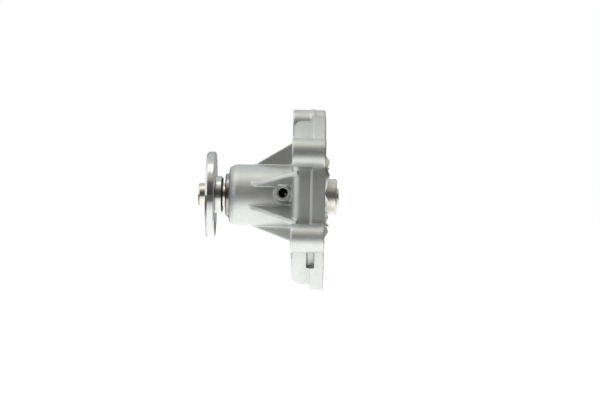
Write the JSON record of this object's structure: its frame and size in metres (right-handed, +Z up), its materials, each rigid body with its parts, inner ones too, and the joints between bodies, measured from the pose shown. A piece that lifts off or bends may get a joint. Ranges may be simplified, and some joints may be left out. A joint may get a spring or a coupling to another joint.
{
  "type": "water pump",
  "caption": "Engine water pump: cast volute housing on a bearing nose, with a pulley hub, face seal, stamped impeller and mating-face gasket.",
  "frame": {"origin": "on the shaft axis, in the plane of the housing's mating face", "axes": "+X along the shaft towards the engine and the impeller, -X towards the pulley, +Z up"},
  "size_m": [0.0979, 0.1424, 0.1267],
  "materials": {
    "cast_aluminium": "bead-blasted casting",
    "gasket_sheet": "coated sheet",
    "bearing_steel": "ground",
    "shaft_steel": "ground",
    "ball_steel": "polished",
    "cage_plastic": "moulded",
    "seal_rubber": "moulded",
    "hub_steel": "turned, zinc plated",
    "slinger_rubber": "moulded",
    "seal_brass": "pressed sheet",
    "bellows_rubber": "moulded",
    "spring_steel": "drawn wire",
    "carbon": "lapped carbon",
    "ceramic": "lapped ceramic",
    "impeller_steel": "turned",
    "impeller_sheet": "stamped sheet",
    "rivet_steel": "flush"
  },
  "bodies": {
    "pump_body": {"housing": "cast_aluminium", "gasket": "gasket_sheet", "bearing_outer_race": "bearing_steel", "front_bearing_seal": "seal_rubber", "rear_bearing_seal": "seal_rubber", "seal_case": "seal_brass", "seal_bellows": "bellows_rubber", "seal_spring": "spring_steel", "seal_retainer": "seal_brass", "seal_carbon_ring": "carbon"},
    "rotor": {"shaft": "shaft_steel", "hub_flange": "hub_steel", "water_slinger": "slinger_rubber", "seal_ceramic_seat": "ceramic", "seal_seat_cup": "bellows_rubber", "impeller_hub": "impeller_steel", "impeller_plate": "impeller_sheet", "impeller_rivets": "rivet_steel"},
    "front_ball_set": {"front_bearing_balls": "ball_steel", "front_bearing_cage": "cage_plastic"},
    "rear_ball_set": {"rear_bearing_balls": "ball_steel", "rear_bearing_cage": "cage_plastic"}
  },
  "joints": [
    {"name": "shaft_spin", "type": "hinge", "parent": "pump_body", "child": "rotor", "pos_m": [-0.05, 0, 0], "axis": [1, 0, 0], "continuous": true},
    {"name": "front_balls_orbit", "type": "hinge", "parent": "pump_body", "child": "front_ball_set", "pos_m": [-0.0596, 0, 0], "axis": [1, 0, 0], "continuous": true},
    {"name": "rear_balls_orbit", "type": "hinge", "parent": "pump_body", "child": "rear_ball_set", "pos_m": [-0.042, 0, 0], "axis": [1, 0, 0], "continuous": true}
  ],
  "couplings": [
    {"joint": "front_balls_orbit", "follows": "shaft_spin", "ratio": 0.371},
    {"joint": "rear_balls_orbit", "follows": "shaft_spin", "ratio": 0.371}
  ]
}
